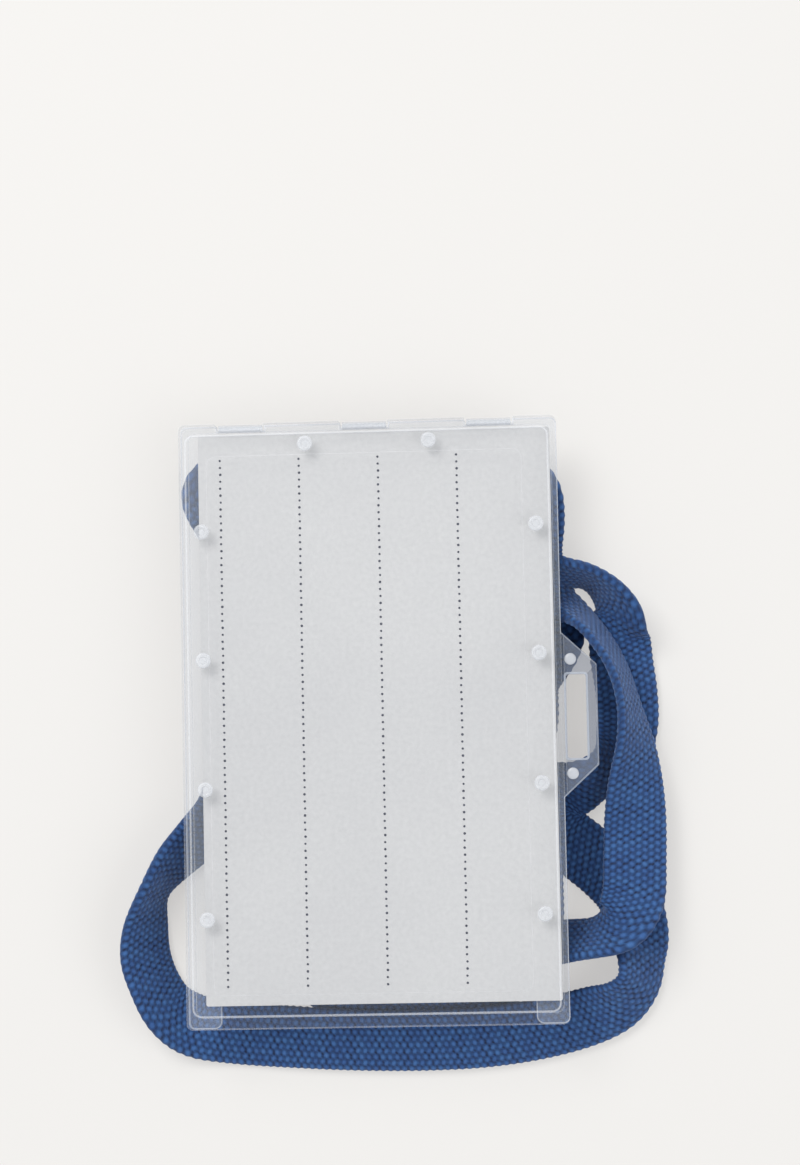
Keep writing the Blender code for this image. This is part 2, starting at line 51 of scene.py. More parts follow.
rng = np.random.default_rng(7)


def at(x, y, z):
    return Vector(((x - OX) * MM, (y - OY) * MM, z * MM))


def link(ob):
    bpy.context.scene.collection.objects.link(ob)
    return ob


# ---------------------------------------------------------------- camera
rx, ry, rz = -0.08075, -0.06274, 0.02565
R = Matrix.Rotation(rz, 3, "Z") @ Matrix.Rotation(ry, 3, "Y") @ Matrix.Rotation(rx, 3, "X")
tx, ty, dist, focal = -4.24406, -22.05842, 500.0, 3163.152
cam_data = bpy.data.cameras.new("camera")
cam_data.sensor_fit = "HORIZONTAL"
cam_data.sensor_width = 36.0
cam_data.lens = focal / 800.0 * 36.0
cam_data.clip_start, cam_data.clip_end = 0.01, 10.0
cam = link(bpy.data.objects.new("camera", cam_data))
p = R.transposed() @ Vector((-tx, -ty, dist)) + Vector((0, 0, 10))
m = R.transposed().to_4x4()
m.translation = at(*p)
cam.matrix_world = m
bpy.context.scene.camera = cam

# ---------------------------------------------------------------- the strap's route (drawing mm: x, y, support height, roll)
W, T = 10.0, 1.6
ROUTE = [
    (6.0, -14.0, 3.3, 0), (6.0, -18.0, 3.3, 0), (6.0, -22.5, 3.3, 0), (6.6, -26.6, 3.3, 0), (9.2, -31.0, 3.2, -6),
    (13.6, -34.2, 2.5, -18), (18.8, -35.3, 2.0, -30), (24.2, -35.5, 1.2, -42), (30.0, -35.1, 0.8, -52),
    (34.8, -34.4, 1.6, -54), (38.4, -32.4, 3.6, -30), (40.3, -28.6, 4.6, -4), (40.7, -23.0, 4.3, 4),
    (40.9, -17.5, 3.9, 8), (41.1, -10.5, 3.5, 30), (41.2, -4.0, 3.1, 56), (40.4, 2.0, 3.1, 72), (38.9, 7.5, 3.2, 75),
    (36.6, 11.8, 2.8, 73), (33.6, 15.6, 1.9, 70), (30.0, 18.2, 1.7, 55), (25.5, 20.2, 1.7, 38), (17.5, 22.4, 0.6, 24),
    (9.0, 24.0, 0.1, 14), (0.5, 25.4, 0.1, 6), (-7.5, 24.8, 0.1, 2), (-11.2, 20.6, 0.1, 12), (-14.0, 14.2, 0.1, 36),
    (-15.0, 6.0, 0.1, 45), (-15.2, -4.0, 0.1, 45), (-15.2, -14.0, 0.1, 45), (-14.8, -23.0, 0.1, 42),
    (-13.4, -31.2, 0.1, 32), (-10.6, -39.8, 0.1, 14), (-2.6, -41.6, 0.1, 6), (6.0, -42.0, 0.1, 4),
    (14.0, -41.9, 0.1, 4), (20.4, -39.8, 0.1, 2), (23.8, -34.4, 0.4, 0), (24.3, -27.0, 1.6, 0), (24.0, -20.0, 2.6, 0),
    (23.2, -13.0, 3.2, 0), (23.2, -6.0, 2.6, 0), (24.2, 0.5, 0.5, 0), (24.5, 6.6, 0.1, 0), (27.8, 11.4, 0.1, 0),
    (28.9, 15.2, 0.1, 0), (26.9, 20.6, 0.1, 0), (25.4, 26.5, 0.1, 2), (26.0, 32.5, 0.1, 8), (25.6, 36.8, 0.1, 16),
    (22.4, 40.0, 0.1, 22), (17.0, 41.3, 0.1, 26), (9.0, 41.1, 0.1, 28), (0.0, 40.9, 0.1, 28), (-9.0, 41.0, 0.1, 22),
    (-17.0, 41.3, 0.1, 10), (-23.0, 40.2, 0.1, -8), (-26.3, 37.2, 0.1, -28), (-23.5, 29.6, 0.1, -46),
    (-23.8, 21.0, 0.1, -48), (-23.2, 11.0, 0.1, -50), (-23.2, 1.0, 0.1, -50), (-23.4, -6.5, 0.1, -50),
    (-25.0, -12.8, 0.1, -48), (-28.6, -17.4, 0.1, -47), (-32.6, -21.4, 0.1, -58), (-36.0, -26.2, 0.1, -73),
    (-37.4, -31.4, 0.1, -56), (-37.6, -36.4, 0.1, -46), (-36.1, -41.0, 0.1, -44), (-33.8, -45.0, 0.1, -34),
    (-30.2, -47.6, 0.1, -10), (-24.0, -48.8, 0.1, 2), (-15.0, -49.6, 0.1, 8), (-4.0, -50.3, 0.1, 12),
    (7.0, -50.5, 0.1, 13), (17.0, -50.1, 0.1, 14), (26.0, -48.8, 0.1, 14), (33.6, -46.9, 0.1, 22),
    (38.2, -44.9, 0.1, 38), (40.9, -41.8, 0.1, 48), (41.3, -37.4, 0.1, 40), (40.7, -32.6, 0.1, 8),
    (39.3, -27.8, 0.1, 2), (36.0, -24.0, 0.1, 0), (32.2, -20.8, 0.1, 0), (29.0, -18.0, 0.1, 0), (27.6, -14.4, 0.1, 6),
    (29.6, -11.6, 0.1, 10), (33.3, -10.2, 0.1, 42), (36.9, -8.3, 0.1, 42), (39.2, -5.0, 0.1, 24),
    (40.2, -0.5, 0.2, 11), (40.1, 4.5, 0.3, 9), (39.5, 9.2, 0.4, 4), (39.2, 13.2, 0.2, -12), (39.2, 17.0, 0.1, -46),
    (37.0, 20.6, 0.1, -66), (33.8, 22.8, 0.1, -74), (29.6, 23.3, 0.3, -62), (24.0, 25.4, 1.4, -36),
    (16.8, 29.6, 1.2, -8), (9.0, 31.6, 0.4, 6), (2.0, 30.6, 1.4, 8), (-2.8, 26.2, 2.5, 6), (-6.6, 20.4, 2.2, 16),
    (-8.4, 13.6, 0.6, 38), (-8.9, 5.0, 0.1, 45), (-9.0, -5.0, 0.1, 45), (-9.0, -14.0, 0.1, 44),
    (-8.7, -21.0, 0.1, 38), (-7.8, -26.8, 0.5, 28), (-5.4, -30.8, 1.5, 14), (-1.6, -32.8, 2.1, 2),
    (3.0, -31.0, 1.8, 0), (5.5, -26.8, 1.4, 0), (6.0, -22.5, 1.3, 0), (6.0, -18.0, 1.3, 0), (6.0, -14.0, 1.3, 0),
]


def dense(step):
    P = np.array(ROUTE, float)
    r = np.radians(P[:, 3])
    z = P[:, 2] + 0.5 * W * np.abs(np.sin(r)) + 0.5 * T * np.cos(r)
    Q = np.stack([P[:, 0], P[:, 1], z, P[:, 3]], 1)
    Q = np.vstack([2 * Q[0] - Q[1], Q, 2 * Q[-1] - Q[-2]])
    out = []
    for i in range(1, len(Q) - 2):
        p0, p1, p2, p3 = Q[i - 1], Q[i], Q[i + 1], Q[i + 2]
        t = [0.0]
        for a, b in ((p0, p1), (p1, p2), (p2, p3)):
            t.append(t[-1] + max(1e-6, np.linalg.norm(a[:3] - b[:3])) ** 0.5)
        for u in np.linspace(t[1], t[2], 24, endpoint=False):
            a1 = (t[1] - u) / (t[1] - t[0]) * p0 + (u - t[0]) / (t[1] - t[0]) * p1
            a2 = (t[2] - u) / (t[2] - t[1]) * p1 + (u - t[1]) / (t[2] - t[1]) * p2
            a3 = (t[3] - u) / (t[3] - t[2]) * p2 + (u - t[2]) / (t[3] - t[2]) * p3
            b1 = (t[2] - u) / (t[2] - t[0]) * a1 + (u - t[0]) / (t[2] - t[0]) * a2
            b2 = (t[3] - u) / (t[3] - t[1]) * a2 + (u - t[1]) / (t[3] - t[1]) * a3
            out.append((t[2] - u) / (t[2] - t[1]) * b1 + (u - t[1]) / (t[2] - t[1]) * b2)
    out.append(Q[-2])
    C = np.array(out)
    for _ in range(30):
        C[1:-1] = 0.5 * C[1:-1] + 0.25 * (C[:-2] + C[2:])
    d = np.concatenate([[0], np.cumsum(np.linalg.norm(np.diff(C[:, :3], axis=0), axis=1))])
    n = int(round(d[-1] / step))
    s = np.linspace(0, d[-1], n + 1)
    return np.stack([np.interp(s, d, C[:, k]) for k in range(4)], 1), s


def frames(C):
    Tn = np.gradient(C[:, :3], axis=0)
    for _ in range(3):
        Tn[1:-1] = 0.5 * Tn[1:-1] + 0.25 * (Tn[:-2] + Tn[2:])
    Tn /= np.linalg.norm(Tn, axis=1)[:, None]
    S = np.cross(np.array([0, 0, 1.0]), Tn)
    S /= np.linalg.norm(S, axis=1)[:, None]
    U = np.cross(Tn, S)
    r = np.radians(C[:, 3])[:, None]
    Wd = np.cos(r) * S + np.sin(r) * U
    return Tn, Wd, np.cross(Tn, Wd)


# ---------------------------------------------------------------- node helpers
def new_material(name):
    mat = bpy.data.materials.new(name)
    mat.use_nodes = True
    nt = mat.node_tree
    nt.nodes.clear()
    out = nt.nodes.new("ShaderNodeOutputMaterial")
    b = nt.nodes.new("ShaderNodeBsdfPrincipled")
    nt.links.new(b.outputs[0], out.inputs[0])
    return mat, nt, b


def node(nt, kind, **props):
    n = nt.nodes.new(kind)
    for k, v in props.items():
        if k.startswith("i_"):
            n.inputs[k[2:].replace("_", " ")].default_value = v
        else:
            setattr(n, k, v)
    return n


def ramp(nt, src, stops, interpolation="LINEAR"):
    r = nt.nodes.new("ShaderNodeValToRGB")
    r.color_ramp.interpolation = interpolation
    e = r.color_ramp.elements
    while len(e) < len(stops):
        e.new(0.5)
    for el, (pos, col) in zip(e, stops):
        el.position = pos
        el.color = (*col, 1.0) if len(col) == 3 else col
    nt.links.new(src, r.inputs[0])
    return r.outputs[0]


def bump(nt, height, strength, distance, b, chain=None):
    n = nt.nodes.new("ShaderNodeBump")
    n.inputs["Strength"].default_value = strength
    n.inputs["Distance"].default_value = distance
    nt.links.new(height, n.inputs["Height"])
    if chain is not None:
        nt.links.new(chain, n.inputs["Normal"])
    nt.links.new(n.outputs[0], b.inputs["Normal"])
    return n.outputs[0]


# ---------------------------------------------------------------- materials
def braid_material():
    mat, nt, b = new_material("blue_braid")
    h = node(nt, "ShaderNodeAttribute", attribute_name="braid_h")
    sid = node(nt, "ShaderNodeAttribute", attribute_name="braid_id")
    uv = node(nt, "ShaderNodeAttribute", attribute_name="braid_uv")
    # painted shade: the braid's colour is the blue dye at the crests and grows darker towards the crevices by braid
    # height
    dye_with_crevice_shade = ramp(nt, h.outputs["Fac"], [(0.0, (0.004, 0.010, 0.034)), (0.40, (0.010, 0.030, 0.098)), (0.75, (0.019, 0.068, 0.205)), (1.0, (0.042, 0.128, 0.350))])
    tint = ramp(nt, sid.outputs["Fac"], [(0.0, (0.78, 0.80, 0.86)), (0.5, (1.0, 1.0, 1.0)), (1.0, (1.20, 1.16, 1.08))])
    mul = node(nt, "ShaderNodeMix", data_type="RGBA", blend_type="MULTIPLY")
    mul.inputs["Factor"].default_value = 1.0
    nt.links.new(dye_with_crevice_shade, mul.inputs["A"])
    nt.links.new(tint, mul.inputs["B"])
    # filaments running along each strand
    wave = node(nt, "ShaderNodeTexWave", wave_type="BANDS", bands_direction="X")
    wave.inputs["Scale"].default_value = 2.6
    wave.inputs["Distortion"].default_value = 1.6
    wave.inputs["Detail"].default_value = 2.0
    wave.inputs["Detail Scale"].default_value = 2.0
    nt.links.new(uv.outputs["Vector"], wave.inputs["Vector"])
    fil = ramp(nt, wave.outputs["Color"], [(0.0, (0.80, 0.82, 0.86)), (1.0, (1.08, 1.07, 1.05))])
    mul2 = node(nt, "ShaderNodeMix", data_type="RGBA", blend_type="MULTIPLY")
    mul2.inputs["Factor"].default_value = 1.0
    nt.links.new(mul.outputs["Result"], mul2.inputs["A"])
    nt.links.new(fil, mul2.inputs["B"])
    nt.links.new(mul2.outputs["Result"], b.inputs["Base Color"])
    tex = node(nt, "ShaderNodeTexCoord")
    noise = node(nt, "ShaderNodeTexNoise", i_Scale=2600.0, i_Detail=3.0)
    nt.links.new(tex.outputs["Object"], noise.inputs["Vector"])
    c = bump(nt, wave.outputs["Color"], 0.45, 0.00006, b)
    bump(nt, noise.outputs["Fac"], 0.20, 0.00004, b, c)
    rough = ramp(nt, noise.outputs["Fac"], [(0.3, (0.58, 0.58, 0.58)), (0.7, (0.74, 0.74, 0.74))])
    nt.links.new(rough, b.inputs["Roughness"])
    b.inputs["Sheen Weight"].default_value = 0.35
    b.inputs["Sheen Roughness"].default_value = 0.45
    b.inputs["Sheen Tint"].default_value = (0.55, 0.68, 1.0, 1.0)
    b.inputs["Specular IOR Level"].default_value = 0.30
    return mat


def frosted(name, colour, alpha, rough, scale=900.0, strength=0.06):
    """Translucent moulded polypropylene: a milky body, a soft sheen and a very fine surface grain."""
    mat, nt, b = new_material(name)
    tex = node(nt, "ShaderNodeTexCoord")
    cloud = node(nt, "ShaderNodeTexNoise", i_Scale=55.0, i_Detail=3.0, i_Roughness=0.55)
    nt.links.new(tex.outputs["Object"], cloud.inputs["Vector"])
    lo = tuple(c * 0.965 for c in colour)
    nt.links.new(ramp(nt, cloud.outputs["Fac"], [(0.35, lo), (0.65, colour)]), b.inputs["Base Color"])
    fine = node(nt, "ShaderNodeTexNoise", i_Scale=scale, i_Detail=2.0)
    nt.links.new(tex.outputs["Object"], fine.inputs["Vector"])
    bump(nt, fine.outputs["Fac"], strength, 0.0001, b)
    smear = node(nt, "ShaderNodeTexNoise", i_Scale=140.0, i_Detail=4.0)
    nt.links.new(tex.outputs["Object"], smear.inputs["Vector"])
    nt.links.new(ramp(nt, smear.outputs["Fac"], [(0.3, (rough - 0.07,) * 3), (0.7, (rough + 0.08,) * 3)]), b.inputs["Roughness"])
    b.inputs["Alpha"].default_value = alpha
    b.inputs["Specular IOR Level"].default_value = 0.5
    b.inputs["Subsurface Weight"].default_value = 0.0
    return mat


def paper_material():
    mat, nt, b = new_material("insert_paper")
    tex = node(nt, "ShaderNodeTexCoord")
    fib = node(nt, "ShaderNodeTexNoise", i_Scale=1400.0, i_Detail=4.0, i_Roughness=0.65)
    big = node(nt, "ShaderNodeTexNoise", i_Scale=38.0, i_Detail=2.0)
    for n in (fib, big):
        nt.links.new(tex.outputs["Object"], n.inputs["Vector"])
    a = ramp(nt, fib.outputs["Fac"], [(0.3, (0.515, 0.515, 0.520)), (0.7, (0.568, 0.567, 0.570))])
    c = ramp(nt, big.outputs["Fac"], [(0.35, (0.96, 0.96, 0.965)), (0.65, (1.0, 1.0, 1.0))])
    mul = node(nt, "ShaderNodeMix", data_type="RGBA", blend_type="MULTIPLY")
    mul.inputs["Factor"].default_value = 1.0
    nt.links.new(a, mul.inputs["A"])
    nt.links.new(c, mul.inputs["B"])
    nt.links.new(mul.outputs["Result"], b.inputs["Base Color"])
    bump(nt, fib.outputs["Fac"], 0.15, 0.00005, b)
    b.inputs["Roughness"].default_value = 0.88
    b.inputs["Specular IOR Level"].default_value = 0.25
    return mat


def ink_material():
    mat, nt, b = new_material("printed_dot")
    tex = node(nt, "ShaderNodeTexCoord")
    n = node(nt, "ShaderNodeTexNoise", i_Scale=3000.0, i_Detail=2.0)
    nt.links.new(tex.outputs["Object"], n.inputs["Vector"])
    nt.links.new(ramp(nt, n.outputs["Fac"], [(0.3, (0.016, 0.018, 0.035)), (0.7, (0.045, 0.048, 0.075))]), b.inputs["Base Color"])
    b.inputs["Roughness"].default_value = 0.8
    return mat


def plated(name, colour, rough):
    """Nickel plate over a die-cast or pressed surface: slight clouding, fine scratches."""
    mat, nt, b = new_material(name)
    tex = node(nt, "ShaderNodeTexCoord")
    cloud = node(nt, "ShaderNodeTexNoise", i_Scale=260.0, i_Detail=5.0)
    scr = node(nt, "ShaderNodeTexNoise", i_Scale=1.0, i_Detail=4.0)
    mapping = node(nt, "ShaderNodeMapping")
    mapping.inputs["Scale"].default_value = (5200.0, 420.0, 5200.0)
    nt.links.new(tex.outputs["Object"], mapping.inputs["Vector"])
    nt.links.new(mapping.outputs[0], scr.inputs["Vector"])
    nt.links.new(tex.outputs["Object"], cloud.inputs["Vector"])
    nt.links.new(ramp(nt, cloud.outputs["Fac"], [(0.3, tuple(c * 0.86 for c in colour)), (0.7, colour)]), b.inputs["Base Color"])
    nt.links.new(ramp(nt, scr.outputs["Fac"], [(0.35, (rough - 0.08,) * 3), (0.7, (rough + 0.14,) * 3)]), b.inputs["Roughness"])
    bump(nt, scr.outputs["Fac"], 0.10, 0.00003, b)
    b.inputs["Metallic"].default_value = 1.0
    return mat


BRAID = braid_material()
COVER = frosted("frosted_cover", (0.62, 0.66, 0.72), 0.035, 0.26)
# painted highlight: the edge copies are lighter, whiter versions of the panel plastic, put on rounded edges, the
# contour line and the slot lip
COVER_EDGE_HIGHLIGHT = frosted("frosted_cover_edge_highlight", (0.86, 0.88, 0.92), 0.20, 0.22)
# painted shade: the side copies are darker versions of the panel plastic, put on the vertical side walls
COVER_SIDE_SHADE = frosted("frosted_cover_side_shade", (0.50, 0.55, 0.62), 0.26, 0.28)
BACK = frosted("frosted_back", (0.46, 0.51, 0.59), 0.12, 0.32)
BACK_EDGE_HIGHLIGHT = frosted("frosted_back_edge_highlight", (0.66, 0.70, 0.78), 0.36, 0.26)
BACK_SIDE_SHADE = frosted("frosted_back_side_shade", (0.42, 0.47, 0.55), 0.34, 0.32)
RING = frosted("frosted_ring", (0.74, 0.76, 0.80), 0.34, 0.22)
BOSS = frosted("frosted_boss", (0.84, 0.86, 0.90), 0.50, 0.24)
# painted shade: the tab copy is a dark version of the back plastic, standing in for the shade on and under the tab
TAB_SHADE = frosted("frosted_tab", (0.18, 0.21, 0.275), 0.45, 0.34)
TAB_EDGE_HIGHLIGHT = frosted("frosted_tab_edge", (0.60, 0.65, 0.74), 0.42, 0.24)
FILM = frosted("film_hinge", (0.66, 0.70, 0.76), 0.26, 0.26)
PAPER = paper_material()
INK = ink_material()
NICKEL = plated("nickel_hook", (0.72, 0.71, 0.68), 0.24)
CRIMP = plated("nickel_crimp", (0.68, 0.67, 0.64), 0.30)
STEEL = plated("bright_steel", (0.62, 0.62, 0.62), 0.26)

# ---------------------------------------------------------------- braided strap
C, S_ = dense(0.30)
Tn, Wd, N = frames(C)
COLS, PITCH_U, PITCH_S = 10, W / 10.0, 1.12


def braid_field(u, s, phase):
    """Height 0..1 and strand number of the braid at (u across, s along), both in mm."""
    best = np.zeros_like(u)
    ident = np.zeros_like(u)
    au = np.zeros_like(u)
    av = np.zeros_like(u)
    col = np.floor((u + W / 2) / PITCH_U)
    for dc in (-1, 0, 1):
        ci = col + dc
        uc = -W / 2 + (ci + 0.5) * PITCH_U
        odd = np.mod(ci + phase, 2)
        row = np.round((s - odd * 0.5 * PITCH_S) / PITCH_S)
        for dr in (-1, 0, 1):
            sc = (row + dr + odd * 0.5) * PITCH_S
            lean = np.where(odd > 0.5, 0.42, -0.42)
            du, ds = u - uc, s - sc
            a = du * np.cos(lean) + ds * np.sin(lean)
            b = -du * np.sin(lean) + ds * np.cos(lean)
            q = (np.abs(a) / 0.70) ** 2.0 + (np.abs(b) / 0.55) ** 2.0
            v = np.clip(1.0 - q, 0.0, 1.0) ** 0.50
            take = v > best
            best = np.where(take, v, best)
            ident = np.where(take, ci * 57.0 + (row + dr) * 13.0 + phase * 7.0, ident)
            au = np.where(take, a, au)
            av = np.where(take, b, av)
    return best, ident, au, av


def make_strap():
    n = len(C)
    us = np.concatenate([-W / 2 + np.array([0.0, 0.12, 0.34]), np.linspace(-W / 2 + 0.62, W / 2 - 0.62, 35), W / 2 - np.array([0.34, 0.12, 0.0])])
    k = len(us)
    uu, ss = np.meshgrid(us, S_)
    edge = np.abs(uu) / (W / 2)
    half = 0.5 * (T - 0.26) * np.sqrt(np.clip(1.0 - edge ** 5.0, 0.0, 1.0))
    verts, hs, ids, uvs = [], [], [], []
    for sign, phase in ((1.0, 0), (-1.0, 1)):
        h, ident, au, av = braid_field(uu, ss, phase)
        fade = np.clip((1.0 - edge) / 0.06, 0.0, 1.0)
        z = sign * (half + 0.26 * h * (0.25 + 0.75 * fade))
        scallop = 0.08 * np.cos(2 * np.pi * ss / PITCH_S + (0.0 if sign > 0 else np.pi)) * edge ** 10 * np.sign(uu)
        pu = uu + scallop * (1 if sign > 0 else 0) + (0.08 * np.cos(2 * np.pi * ss / PITCH_S) * edge ** 10 * np.sign(uu) if sign < 0 else 0)
        P = C[:, None, :3] + Wd[:, None, :] * pu[..., None] + N[:, None, :] * z[..., None]
        cols = slice(0, k) if sign > 0 else slice(1, k - 1)
        verts.append(P[:, cols])
        hs.append(h[:, cols])
        ids.append(ident[:, cols])
        uvs.append(np.stack([au[:, cols], av[:, cols], ident[:, cols] * 0.37], -1))
    # ring order: top from -W/2 to W/2, then bottom back again
    V = np.concatenate([verts[0], verts[1][:, ::-1]], 1)
    H = np.concatenate([hs[0], hs[1][:, ::-1]], 1)
    I = np.concatenate([ids[0], ids[1][:, ::-1]], 1)
    UVs = np.concatenate([uvs[0], uvs[1][:, ::-1]], 1)
    # lies under the holder without pressing into it, and on the surface
    away = np.maximum(np.maximum(np.abs(V[..., 0]) - 30.05, np.abs(V[..., 1]) - 47.8), 0.0)
    V[..., 2] = np.minimum(V[..., 2], 8.80 + 1.3 * away)
    V[..., 2] = np.maximum(V[..., 2], 0.02)
    m_ = V.shape[1]
    flat = V.reshape(-1, 3).copy()
    flat[:, 0] = (flat[:, 0] - OX) * MM
    flat[:, 1] = (flat[:, 1] - OY) * MM
    flat[:, 2] *= MM
    i = np.arange(n - 1)[:, None]
    j = np.arange(m_)[None, :]
    jn = (j + 1) % m_
    quads = np.stack([i * m_ + j, i * m_ + jn, (i + 1) * m_ + jn, (i + 1) * m_ + j], -1).reshape(-1, 4)
    me = bpy.data.meshes.new("braided_strap")
    nv = len(flat)
    caps = [list(range(m_))[::-1], [(n - 1) * m_ + q for q in range(m_)]]
    loops = np.concatenate([quads[:, ::-1].reshape(-1), np.array(caps[0][::-1]), np.array(caps[1][::-1])])
    me.vertices.add(nv)
    me.vertices.foreach_set("co", flat.astype(np.float32).reshape(-1))
    me.loops.add(len(loops))
    me.loops.foreach_set("vertex_index", loops.astype(np.int32))
    starts = np.concatenate([np.arange(len(quads)) * 4, [len(quads) * 4, len(quads) * 4 + m_]])
    me.polygons.add(len(quads) + 2)
    me.polygons.foreach_set("loop_start", starts.astype(np.int32))
    me.update(calc_edges=True)
    me.validate()
    for name, data in (("braid_h", H), ("braid_id", np.mod(np.sin(I * 12.9898) * 43758.5453, 1.0))):
        at_ = me.attributes.new(name, "FLOAT", "POINT")
        at_.data.foreach_set("value", data.reshape(-1).astype(np.float32))
    at_ = me.attributes.new("braid_uv", "FLOAT_VECTOR", "POINT")
    at_.data.foreach_set("vector", UVs.reshape(-1).astype(np.float32))
    me.shade_smooth()
    me.materials.append(BRAID)
    ob = link(bpy.data.objects.new("braided_strap", me))
    bm = bmesh.new()
    bm.from_mesh(me)
    if bm.calc_volume(signed=True) < 0:
        bmesh.ops.reverse_faces(bm, faces=bm.faces)
        bm.to_mesh(me)
    bm.free()
    return ob


strap = make_strap()
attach(strap, "strap")
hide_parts("strap_winding", "strap_inner_run", "strap_tab_run", "strap_outer_run")
Cp, Sp = dense(1.5)


# ---------------------------------------------------------------- moulded pieces
def prism(outline, z0, z1):
    bm = bmesh.new()
    low = [bm.verts.new((x, y, z0)) for x, y in outline]
    high = [bm.verts.new((x, y, z1)) for x, y in outline]
    n = len(outline)
    bm.faces.new(list(reversed(low)))
    bm.faces.new(high)
    for i in range(n):
        j = (i + 1) % n
        bm.faces.new((low[i], low[j], high[j], high[i]))
    return bm


def arc(cx, cy, r, a0, a1, n):
    return [(cx + r * math.cos(math.radians(a0 + (a1 - a0) * i / n)), cy + r * math.sin(math.radians(a0 + (a1 - a0) * i / n))) for i in range(n + 1)]


def rounded(x0, x1, y0, y1, r, n=6):
    return (arc(x1 - r, y0 + r, r, -90, 0, n) + arc(x1 - r, y1 - r, r, 0, 90, n)
            + arc(x0 + r, y1 - r, r, 90, 180, n) + arc(x0 + r, y0 + r, r, 180, 270, n))


def turned(profile, n, centre):
    bm = bmesh.new()
    rings = []
    for r, h in profile:
        if r == 0.0:
            rings.append([bm.verts.new((centre[0], centre[1], h))])
        else:
            rings.append([bm.verts.new((centre[0] + r * math.cos(2 * math.pi * k / n), centre[1] + r * math.sin(2 * math.pi * k / n), h)) for k in range(n)])
    for a, b in zip(rings[:-1], rings[1:]):
        for k in range(n):
            l = (k + 1) % n
            if len(a) == 1:
                bm.faces.new((a[0], b[k], b[l]))
            elif len(b) == 1:
                bm.faces.new((a[k], b[0], a[l]))
            else:
                bm.faces.new((a[k], b[k], b[l], a[l]))
    return bm


def bevelled(bm, width, segments=2, angle=25.0, only=None):
    bmesh.ops.recalc_face_normals(bm, faces=bm.faces)
    edges = [e for e in bm.edges if len(e.link_faces) == 2 and e.calc_face_angle(0.0) > math.radians(angle) and (only is None or only(e))]
    bmesh.ops.bevel(bm, geom=edges, offset=width, offset_type="OFFSET", segments=segments, profile=0.6, affect="EDGES", clamp_overlap=True)
    return bm


def to_object(bm, name):
    for v in bm.verts:
        v.co = at(*v.co)
    bmesh.ops.recalc_face_normals(bm, faces=bm.faces)
    me = bpy.data.meshes.new(name)
    bm.to_mesh(me)
    bm.free()
    return link(bpy.data.objects.new(name, me))


def combine(ob, tools):
    """Exact Booleans in turn, then the result kept as the mesh."""
    hidden = []
    for i, (bm, operation) in enumerate(tools):
        t = to_object(bm, ob.name + "_tool_%d" % i)
        mod = ob.modifiers.new("b%d" % i, "BOOLEAN")
        mod.operation, mod.solver, mod.object = operation, "EXACT", t
        hidden.append(t)
    dg = bpy.context.evaluated_depsgraph_get()
    me = bpy.data.meshes.new_from_object(ob.evaluated_get(dg))
    ob.modifiers.clear()
    ob.data = me
    for t in hidden:
        bpy.data.objects.remove(t, do_unlink=True)
    return ob


def finish_mesh(ob, mats, angle=30.0):
    """Flat panels, rounded edges and side walls each get their own copy of the same plastic: the lighter copy on
    rounded edges is painted highlight, the darker copy on side walls is painted shade.
    """
    me = ob.data
    me.materials.clear()
    for mt in mats:
        me.materials.append(mt)
    if len(mats) >= 3:
        for pl in me.polygons:
            nz = abs(pl.normal.z)
            pl.material_index = 0 if nz > 0.985 else (2 if nz < 0.08 else 1)
    me.shade_smooth()
    me.set_sharp_from_angle(angle=math.radians(angle))
    return ob


HW, HH = 30.0, 47.75
HZ = 9.0
BACK_TOP = 10.2
CZ, CTOP = 10.5, 12.9
HINGE_X, HINGE_W = (-20.3, -0.5, 19.3), 7.0


def reliefs():
    pts = []
    half = HINGE_W / 2 + 0.3
    for cx in sorted(HINGE_X, reverse=True):
        pts += [(cx + half, HH), (cx + half, HH - 0.85), (cx - half, HH - 0.85), (cx - half, HH)]
    return pts


# back shell
nw, nd = 49.5 / 2, 8.0
outline = (
    arc(-HW + 1, -HH + 1, 1, 180, 270, 6) + arc(-nw - 1.2, -HH + 1.2, 1.2, -90, 0, 5) + arc(-nw + 1.5, -HH + nd - 1.5, 1.5, 180, 90, 5)
    + arc(nw - 1.5, -HH + nd - 1.5, 1.5, 90, 0, 5) + arc(nw + 1.2, -HH + 1.2, 1.2, 180, 270, 5) + arc(HW - 1, -HH + 1, 1, -90, 0, 6)
    + [(HW, -12.5), (HW + 5.5, -7.5), (HW + 5.5, 8.4), (HW, 13.5)]
    + arc(HW - 1, HH - 1, 1, 0, 90, 6) + reliefs() + arc(-HW + 1, HH - 1, 1, 90, 180, 6)
)
back = to_object(bevelled(prism(outline, HZ, BACK_TOP), 0.16), "holder_back")
pad = [(HW + 0.3, -12.1), (HW + 5.4, -7.4), (HW + 5.4, 8.3), (HW + 0.3, 13.1)]
tools = [(bevelled(prism(pad, BACK_TOP - 0.5, HZ + 1.7), 0.22, 3), "UNION")]
slot = prism(rounded(30.6, 33.7, -6.4, 6.8, 0.4, 4), HZ - 1, HZ + 3)
tools.append((slot, "DIFFERENCE"))
combine(back, tools)
finish_mesh(back, [BACK, BACK_EDGE_HIGHLIGHT, BACK_SIDE_SHADE])
back.data.materials.append(TAB_SHADE)
back.data.materials.append(TAB_EDGE_HIGHLIGHT)
# the tab's flat faces take the dark tab copy as painted shade, its other faces the lighter tab edge copy as painted
# highlight
for pl in back.data.polygons:
    if pl.center.x > at(HW + 0.25, 0, 0).x:
        pl.material_index = 3 if pl.material_index == 0 else 4
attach(back, "holder")
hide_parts("holder_back_shell")
for i, (bx, by) in enumerate(((HW + 1.35, 9.2), (HW + 1.35, -8.8))):
    t = HZ + 1.7
    prof = [(0.0, t - 0.05), (0.92, t - 0.05), (0.94, t + 0.12), (0.88, t + 0.26), (0.70, t + 0.36), (0.40, t + 0.40), (0.0, t + 0.40)]
    boss = to_object(turned(prof, 28, (bx, by)), "tab_boss_%d" % (i + 1))
    finish_mesh(boss, [BOSS])
    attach(boss, "holder")
